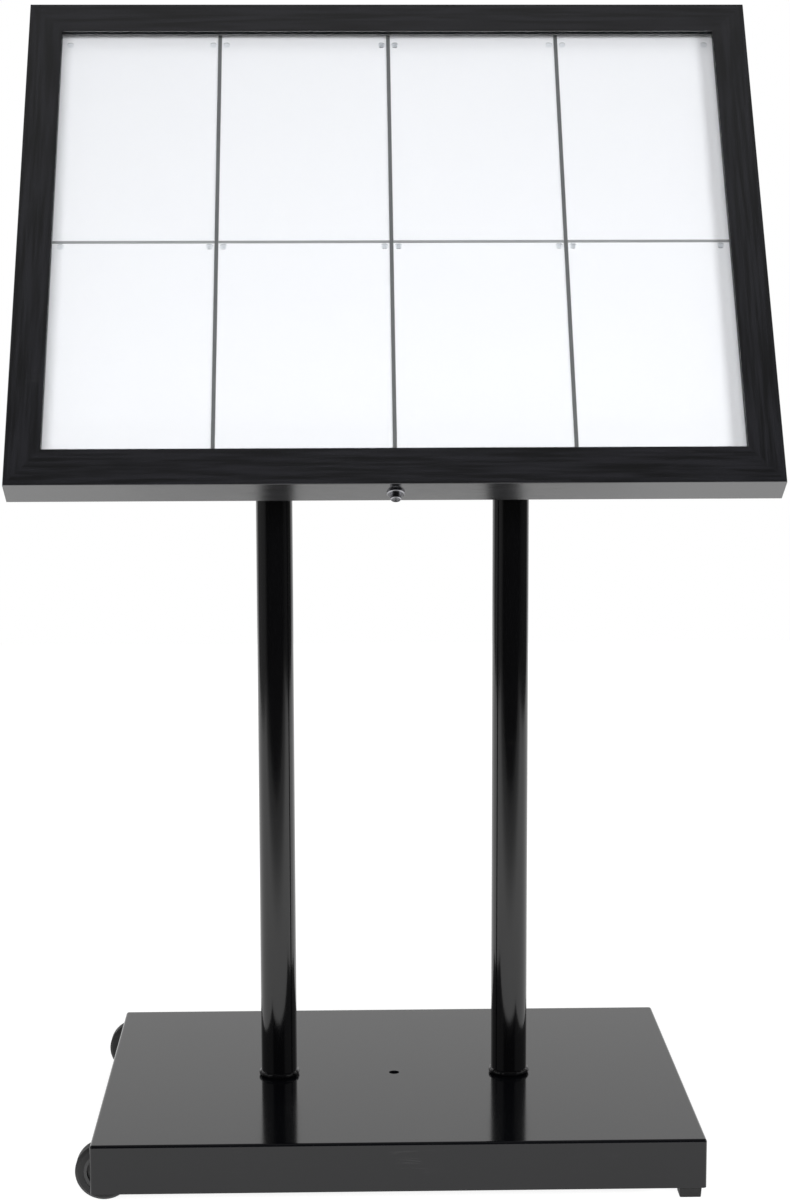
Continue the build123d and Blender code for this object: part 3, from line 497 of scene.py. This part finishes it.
CLEAR_GLASS = clear_finish(
    "door_glass_clear", tint_dark=(0.978, 0.984, 0.984), tint_pale=(0.988, 0.993, 0.993),
    roughness=0.0, smudge=0.012, ior=1.45,
)
CLIP_CLEAR = clear_finish(
    "clip_clear", tint_dark=(0.8, 0.82, 0.84), tint_pale=(0.9, 0.92, 0.94),
    roughness=0.08, smudge=0.1, ior=1.42,
)


# Finishes by material slot, and the nodes that differ from their slot

FINISHES = {
    "base_paint": BASE_PAINT,
    "primed_steel": PRIMER,
    "zinc_steel": ZINC,
    "post_paint": POST_PAINT,
    "foot_rubber": FOOT_RUBBER,
    "gasket_rubber": GASKET_RUBBER,
    "tyre_rubber": TYRE_RUBBER,
    "wheel_plastic": WHEEL_PLASTIC,
    "case_paint": CASE_PAINT,
    "back_paint": BACK_PAINT,
    "white_board": WHITE_BOARD,
    "divider_plastic": COLUMN_PLASTIC,
    "clear_plastic": CLIP_CLEAR,
    "hinge_steel": HINGE_STEEL,
    "door_paint": RAIL_ALONG,
    "clear_glass": CLEAR_GLASS,
    "chrome": CHROME,
}
OWN_FINISH = {
    "door_rail_left": RAIL_UPRIGHT,
    "door_rail_right": RAIL_UPRIGHT,
    "door_rail_bottom": RAIL_BOTTOM,
    # The row dividers take the paler copy of the divider grey, which is painted light
    "row_dividers": ROW_PLASTIC_PAINTED_LIGHT,
}
for entry in frame["record"]["subparts"]:
    node = nodes[entry["node"]]
    finish = OWN_FINISH.get(entry["node"], FINISHES[entry["material_slot"]])
    node.data.materials.clear()
    node.data.materials.append(finish)


# Weld ring: an uneven bead round a post, stretched to the cut that it follows and set on its plane

RING_SEGMENTS = 240
BEAD_SEGMENTS = 16


def deselect_all():
    bpy.ops.object.select_all(action="DESELECT")


def weld_ring(name, centre, radius, bead, stretch, along, outward, ripple_size, ripple_depth):
    deselect_all()
    bpy.ops.mesh.primitive_torus_add(
        major_segments=RING_SEGMENTS, minor_segments=BEAD_SEGMENTS,
        major_radius=radius, minor_radius=bead, location=(0, 0, 0),
    )
    ring = bpy.context.object
    ring.name = name
    bpy.ops.object.mode_set(mode="EDIT")
    bpy.ops.mesh.select_all(action="SELECT")
    bpy.ops.transform.resize(value=stretch)
    bpy.ops.object.mode_set(mode="OBJECT")
    ring.matrix_world = Matrix.Translation(centre) @ Matrix((
        (1, 0, 0, 0),
        (0, along.y, outward.y, 0),
        (0, along.z, outward.z, 0),
        (0, 0, 0, 1),
    ))
    deselect_all()
    ring.select_set(True)
    bpy.context.view_layer.objects.active = ring
    bpy.ops.object.transform_apply(location=True, rotation=True, scale=True)
    ripple = bpy.data.textures.new(name + "_ripple", "CLOUDS")
    ripple.noise_scale = ripple_size
    uneven = ring.modifiers.new("uneven", "DISPLACE")
    uneven.texture = ripple
    uneven.texture_coords = "LOCAL"
    uneven.strength = ripple_depth
    bpy.ops.object.modifier_apply(modifier="uneven")
    bpy.ops.object.shade_smooth()
    ring.data.materials.append(POST_PAINT)
    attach(ring, "stand")
    return ring


def post_middle(side):
    low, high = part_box(f"{side}_post")
    return (low[0] + high[0]) / 2, (low[1] + high[1]) / 2, (high[0] - low[0]) / 2


# Head weld: runs round the slanted cut of the post on its head plate

HEAD_BEAD = 0.0034
HEAD_BEAD_CLEARANCE = 0.0003
HEAD_RIPPLE_SIZE = 0.0045
HEAD_RIPPLE_DEPTH = 0.0016


def head_weld(side):
    middle_x, middle_y, radius = post_middle(side)
    rise = (middle_y - CASE_EDGE.y - HEAD_PLATE_DEPTH * math.cos(LEAN)) / math.sin(LEAN)
    centre = CASE_EDGE + UP_FACE * rise - OUT_FACE * HEAD_PLATE_DEPTH
    centre.x = middle_x
    slant = (1.0, 1.0 / math.sin(LEAN), 1.0)
    weld_ring(
        f"{side}_head_weld", centre, radius + HEAD_BEAD_CLEARANCE, HEAD_BEAD, slant,
        UP_FACE, OUT_FACE, HEAD_RIPPLE_SIZE, HEAD_RIPPLE_DEPTH,
    )


# Foot ring: the rounded, uneven bead round the post on the base, a little lower than the solid collar

FOOT_BEAD = 0.0031
FOOT_RING_SHARE = 0.97
FOOT_RIPPLE_SIZE = 0.007
FOOT_RIPPLE_DEPTH = 0.0018


def foot_ring(side):
    middle_x, middle_y, radius = post_middle(side)
    low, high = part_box(f"{side}_collar")
    tall = (high[2] - low[2]) / (2 * FOOT_BEAD) * FOOT_RING_SHARE
    centre = Vector((middle_x, middle_y, low[2] + FOOT_BEAD * tall))
    backward = Vector((0.0, 1.0, 0.0))
    upward = Vector((0.0, 0.0, 1.0))
    ring = weld_ring(
        f"{side}_foot_ring", centre, radius, FOOT_BEAD, (1.0, 1.0, tall),
        backward, upward, FOOT_RIPPLE_SIZE, FOOT_RIPPLE_DEPTH,
    )
    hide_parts(f"{side}_collar")


for side in ("left", "right"):
    head_weld(side)
    foot_ring(side)


# Seen straight: rays from the camera, also those that pass through the glass without a reflection

def seen_straight(tree, ray):
    unmirrored = math_step(tree, "LESS_THAN", ray.outputs["Glossy Depth"], 0.5)
    through_glass = math_step(tree, "MULTIPLY", ray.outputs["Is Transmission Ray"], unmirrored)
    return math_step(tree, "MAXIMUM", ray.outputs["Is Camera Ray"], through_glass)


# Floor: pale, seen as white, keeping the shadow; in reflections it fades to a dim floor well in front

WHITE = (1.0, 1.0, 1.0, 1.0)
FLOOR_CLOTH = (0.33, 0.33, 0.33, 1.0)
FLOOR_BOUNCE = (0.75, 0.75, 0.75, 1.0)
FLOOR_HALF = 3.0
FLOOR_SHIFT = (0.0, 1.0, -0.0005)


def studio_floor():
    deselect_all()
    bpy.ops.mesh.primitive_plane_add(size=2.0, location=(0, 0, 0))
    floor = bpy.context.object
    floor.name = "floor"
    bpy.ops.object.mode_set(mode="EDIT")
    bpy.ops.mesh.select_all(action="SELECT")
    bpy.ops.transform.resize(value=(FLOOR_HALF, FLOOR_HALF, 1.0))
    bpy.ops.transform.translate(value=FLOOR_SHIFT)
    bpy.ops.object.mode_set(mode="OBJECT")
    material = new_material("studio_floor")
    tree = material.node_tree
    place = add(tree, "ShaderNodeTexCoord")
    split = add(tree, "ShaderNodeSeparateXYZ")
    join(tree, place.outputs["Object"], split.inputs[0])
    front_fade = smooth_range(tree, split.outputs["Y"], low=-1.75, high=-0.85, out_low=0.03)
    reach = add(tree, "ShaderNodeVectorMath", operation="LENGTH")
    join(tree, place.outputs["Object"], reach.inputs[0])
    far_white = smooth_range(tree, reach.outputs["Value"], low=0.45, high=1.3, out_low=0.88)
    ray = add(tree, "ShaderNodeLightPath")
    glow_level = math_step(tree, "MAXIMUM", seen_straight(tree, ray), front_fade)
    cloth = add(tree, "ShaderNodeBsdfDiffuse", in_Color=FLOOR_CLOTH)
    glow = add(tree, "ShaderNodeEmission", in_Color=WHITE)
    join(tree, math_step(tree, "MULTIPLY", glow_level, far_white), glow.inputs["Strength"])
    seen = add(tree, "ShaderNodeAddShader")
    join(tree, cloth.outputs[0], seen.inputs[0])
    join(tree, glow.outputs[0], seen.inputs[1])
    bounce = add(tree, "ShaderNodeBsdfDiffuse", in_Color=FLOOR_BOUNCE)
    looked_at = math_step(tree, "MAXIMUM", ray.outputs["Is Camera Ray"], ray.outputs["Is Glossy Ray"])
    looked_at = math_step(tree, "MAXIMUM", looked_at, ray.outputs["Is Transmission Ray"])
    choice = add(tree, "ShaderNodeMixShader")
    join(tree, looked_at, choice.inputs[0])
    join(tree, bounce.outputs[0], choice.inputs[1])
    join(tree, seen.outputs[0], choice.inputs[2])
    out = add(tree, "ShaderNodeOutputMaterial")
    join(tree, choice.outputs[0], out.inputs["Surface"])
    floor.data.materials.append(material)


studio_floor()


# World: white where seen straight; otherwise a pale backdrop, a soft ceiling, side walls and a dim room

BACKDROP_LIGHT = 0.76
CEILING_LIGHT = 0.16
LEFT_WALL_LIGHT = 0.22
RIGHT_WALL_LIGHT = 0.06
LOW_WALLS_LIGHT = 0.4
ROOM_LIGHT = 0.03


def studio_world():
    world = bpy.data.worlds.new("studio")
    scene.world = world
    world.use_nodes = True
    tree = world.node_tree
    tree.nodes.clear()
    way = add(tree, "ShaderNodeTexCoord")
    split = add(tree, "ShaderNodeSeparateXYZ")
    join(tree, way.outputs["Generated"], split.inputs[0])
    across, back, up = (split.outputs[axis] for axis in "XYZ")
    leftward = math_step(tree, "MULTIPLY", across, -1.0)
    aside = math_step(tree, "ABSOLUTE", across)
    wall_foot = smooth_range(tree, up, low=0.1, high=0.26, out_high=LOW_WALLS_LIGHT)
    wall_head = smooth_range(tree, up, low=0.45, high=0.78, out_low=1.0, out_high=0.0)
    wall_sides = smooth_range(tree, aside, low=0.45, high=0.7)
    low_walls = math_step(tree, "MULTIPLY", math_step(tree, "MULTIPLY", wall_foot, wall_head), wall_sides)
    level = smooth_range(tree, up, low=0.8, high=1.0, out_high=CEILING_LIGHT)
    others = (
        smooth_range(tree, back, low=0.45, high=0.8, out_high=BACKDROP_LIGHT),
        smooth_range(tree, leftward, low=0.75, high=0.97, out_high=LEFT_WALL_LIGHT),
        smooth_range(tree, across, low=0.8, high=0.98, out_high=RIGHT_WALL_LIGHT),
        low_walls,
    )
    for other in others:
        level = math_step(tree, "MAXIMUM", level, other)
    level = math_step(tree, "ADD", level, ROOM_LIGHT)
    ray = add(tree, "ShaderNodeLightPath")
    level = math_step(tree, "MAXIMUM", level, seen_straight(tree, ray))
    sky = add(tree, "ShaderNodeBackground", in_Color=WHITE)
    join(tree, level, sky.inputs["Strength"])
    out = add(tree, "ShaderNodeOutputWorld")
    join(tree, sky.outputs[0], out.inputs["Surface"])


studio_world()


# Soft lamps: three at standing height in front of the case, and a weak broad one high up

BOARD_RISE = 0.35
LAMP_DISTANCE = 3.2
LAMP_DROP = 1.49
BOARD_MIDDLE = CASE_EDGE + UP_FACE * BOARD_RISE
LAMP_ROW = BOARD_MIDDLE + OUT_FACE * LAMP_DISTANCE - UP_FACE * LAMP_DROP
HIGH_PLACE = Vector((0.0, -1.2, 3.2))
STAND_MIDDLE = Vector((0.0, 0.0, 0.6))


def soft_lamp(name, place, target, size, power):
    data = bpy.data.lights.new(name, "AREA")
    data.shape = "SQUARE"
    data.size = size
    data.energy = power
    lamp = bpy.data.objects.new(name, data)
    scene.collection.objects.link(lamp)
    aim = target - place
    lamp.rotation_euler = aim.to_track_quat("-Z", "Y").to_euler()
    lamp.location = place
    lamp.visible_glossy = False
    lamp.visible_transmission = False
    lamp.visible_camera = False


soft_lamp("right_lamp", LAMP_ROW + ACROSS * 2.5, BOARD_MIDDLE, size=1.2, power=88.0)
soft_lamp("left_lamp", LAMP_ROW - ACROSS * 1.36, BOARD_MIDDLE, size=1.2, power=52.0)
soft_lamp("front_lamp", LAMP_ROW, BOARD_MIDDLE, size=1.4, power=43.0)
soft_lamp("high_lamp", HIGH_PLACE, STAND_MIDDLE, size=1.8, power=11.0)


# Camera at the photograph's place, with its focal length in pixels of the photograph's frame

CAMERA_PLACE = (-0.06893, -3.02627, 1.09715)
CAMERA_PITCH = math.radians(7.856)
CAMERA_YAW = math.radians(1.359)
CAMERA_ROLL = math.radians(0.1457)
FOCAL_PIXELS = 2457.97
FRAME_PIXELS_HIGH = 1200.0
SENSOR_HEIGHT = 36.0


def photo_camera():
    flat = math.cos(CAMERA_PITCH)
    forward = Vector((math.sin(CAMERA_YAW) * flat, math.cos(CAMERA_YAW) * flat, -math.sin(CAMERA_PITCH)))
    right = Vector((math.cos(CAMERA_YAW), -math.sin(CAMERA_YAW), 0.0))
    down = forward.cross(right)
    rolled_right = right * math.cos(CAMERA_ROLL) + down * math.sin(CAMERA_ROLL)
    rolled_down = down * math.cos(CAMERA_ROLL) - right * math.sin(CAMERA_ROLL)
    data = bpy.data.cameras.new("camera")
    data.sensor_fit = "VERTICAL"
    data.sensor_height = SENSOR_HEIGHT
    data.lens = FOCAL_PIXELS * SENSOR_HEIGHT / FRAME_PIXELS_HIGH
    data.clip_end = 50.0
    camera = bpy.data.objects.new("camera", data)
    scene.collection.objects.link(camera)
    turn = Matrix((rolled_right, -rolled_down, -forward)).transposed()
    camera.matrix_world = Matrix.Translation(CAMERA_PLACE) @ turn.to_4x4()
    scene.camera = camera


photo_camera()
